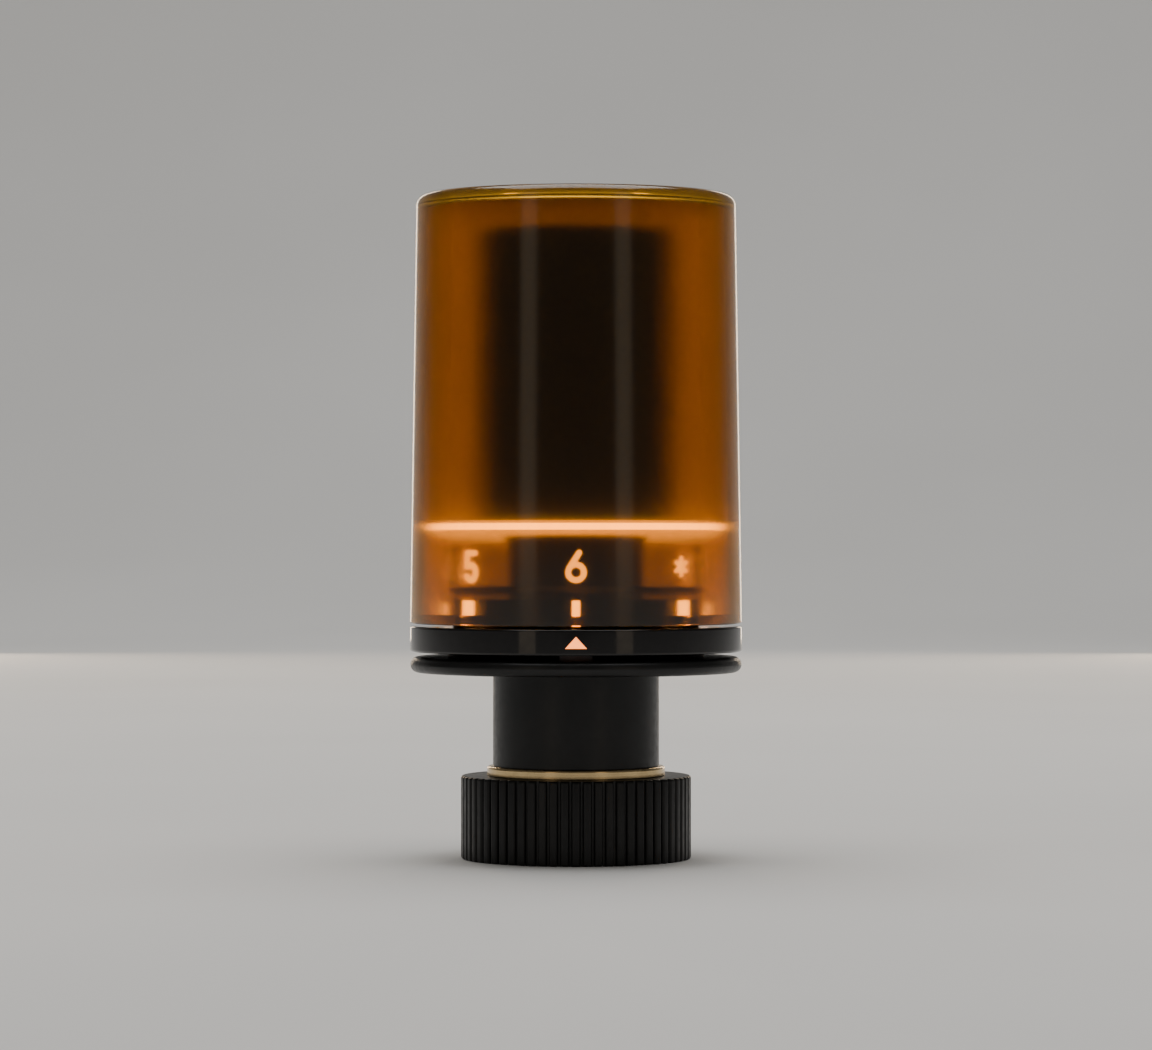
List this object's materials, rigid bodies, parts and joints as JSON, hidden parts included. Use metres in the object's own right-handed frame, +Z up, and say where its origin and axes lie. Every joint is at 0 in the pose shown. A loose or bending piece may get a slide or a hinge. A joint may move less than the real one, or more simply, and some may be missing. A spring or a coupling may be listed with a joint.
{
  "type": "motorised radiator valve head",
  "caption": "Motorised actuator head for a radiator valve: amber turning cap over a lit number dial, dark battery tube, slim neck and ribbed union nut.",
  "frame": {"origin": "centre of the union nut's lower face", "axes": "+Z up along the head's axis from the nut to the cap, -Y towards the pointer, +X to the right seen from the front"},
  "size_m": [0.052, 0.052, 0.1038],
  "materials": {
    "black_grip_plastic": "moulded black with a fine satin grain",
    "black_satin_plastic": "satin black",
    "black_gloss_plastic": "polished black",
    "white_acetal": "smooth self-lubricating plastic",
    "grey_bush_plastic": "smooth grey",
    "polished_brass": "polished",
    "bright_steel": "bright",
    "motor_steel": "drawn and plated",
    "black_rubber": "soft",
    "green_board": "lacquered circuit board",
    "black_chip": "moulded",
    "dark_magnet": "bonded magnet",
    "flex_film": "amber film",
    "cell_sleeve": "plain shrink sleeve",
    "clear_sleeve": "clear moulding",
    "amber_clear": "gloss outside and frosted inside",
    "lit_ring": "light guide that glows at its rim",
    "lit_mark": "lit from inside",
    "lamp_white": "lamp"
  },
  "bodies": {
    "housing": {"neck_sleeve": "black_satin_plastic", "nut_washer": "white_acetal", "brass_ring": "polished_brass", "base_flange": "black_satin_plastic", "neck_screws": "bright_steel", "drum_screws": "bright_steel", "base_drum": "black_satin_plastic", "gear_plate": "bright_steel", "gear_axles": "bright_steel", "guide_bush": "grey_bush_plastic", "pointer_ring": "black_gloss_plastic", "pointer_lens": "lit_mark", "pointer_board": "green_board", "stop_pin": "bright_steel", "dial_sensor": "black_chip", "motor_chimney": "black_satin_plastic", "drive_motor": "motor_steel", "motor_damper": "black_rubber", "light_ring": "lit_ring", "ring_lamps": "lamp_white", "ring_board": "green_board", "battery_tube": "black_satin_plastic", "battery_cell": "cell_sleeve", "battery_spring": "bright_steel", "main_board": "green_board", "board_parts": "black_chip", "flex_strip": "flex_film"},
    "union_nut": {"union_nut": "black_grip_plastic"},
    "dial": {"number_sleeve": "clear_sleeve", "encoder_magnet": "dark_magnet", "tick_bars": "lit_mark", "frost_mark": "lit_mark", "numeral_1": "lit_mark", "numeral_2": "lit_mark", "numeral_3": "lit_mark", "numeral_4": "lit_mark", "numeral_5": "lit_mark", "numeral_6": "lit_mark"},
    "cap": {"amber_cap": "amber_clear"},
    "battery_lid": {"battery_lid": "black_satin_plastic", "lid_seal": "black_rubber", "positive_contact": "polished_brass"},
    "output_gear": {"output_gear": "white_acetal", "spindle_nut": "polished_brass"},
    "second_gear": {"second_gear": "white_acetal"},
    "first_gear": {"first_gear": "white_acetal"},
    "motor_rotor": {"motor_pinion": "polished_brass", "motor_shaft": "bright_steel"},
    "plunger": {"drive_screw": "bright_steel", "plunger_foot": "white_acetal"}
  },
  "joints": [
    {"name": "nut_turn", "type": "hinge", "parent": "housing", "child": "union_nut", "pos_m": [0, 0, 0.0065], "axis": [0, 0, 1], "continuous": true},
    {"name": "dial_turn", "type": "hinge", "parent": "housing", "child": "dial", "pos_m": [0, 0, 0.04], "axis": [0, 0, 1], "range_deg": [0, 308.57]},
    {"name": "cap_lift", "type": "slide", "parent": "dial", "child": "cap", "axis": [0, 0, 1], "range_m": [0, 0.066]},
    {"name": "lid_turn", "type": "hinge", "parent": "housing", "child": "battery_lid", "pos_m": [0, 0, 0.096], "axis": [0, 0, 1], "range_deg": [0, 90]},
    {"name": "output_gear_turn", "type": "hinge", "parent": "housing", "child": "output_gear", "pos_m": [0, 0, 0.035], "axis": [0, 0, 1], "range_deg": [0, 540]},
    {"name": "second_gear_turn", "type": "hinge", "parent": "housing", "child": "second_gear", "pos_m": [-0.0048, 0.00831, 0.035], "axis": [0, 0, 1], "range_deg": [-2052.01, 0]},
    {"name": "first_gear_turn", "type": "hinge", "parent": "housing", "child": "first_gear", "pos_m": [0.0048, 0.00831, 0.035], "axis": [0, 0, 1], "range_deg": [0, 7797.61]},
    {"name": "motor_turn", "type": "hinge", "parent": "housing", "child": "motor_rotor", "pos_m": [0, 0, 0.038], "axis": [0, 0, 1], "range_deg": [-29630.98, 0]},
    {"name": "plunger_slide", "type": "slide", "parent": "housing", "child": "plunger", "axis": [0, 0, -1], "range_m": [0, 0.0045]}
  ],
  "couplings": [
    {"joint": "output_gear_turn", "follows": "plunger_slide", "rad_per_m": 2094.4},
    {"joint": "second_gear_turn", "follows": "plunger_slide", "rad_per_m": -7958.7},
    {"joint": "first_gear_turn", "follows": "plunger_slide", "rad_per_m": 30243},
    {"joint": "motor_turn", "follows": "plunger_slide", "rad_per_m": -114920}
  ]
}
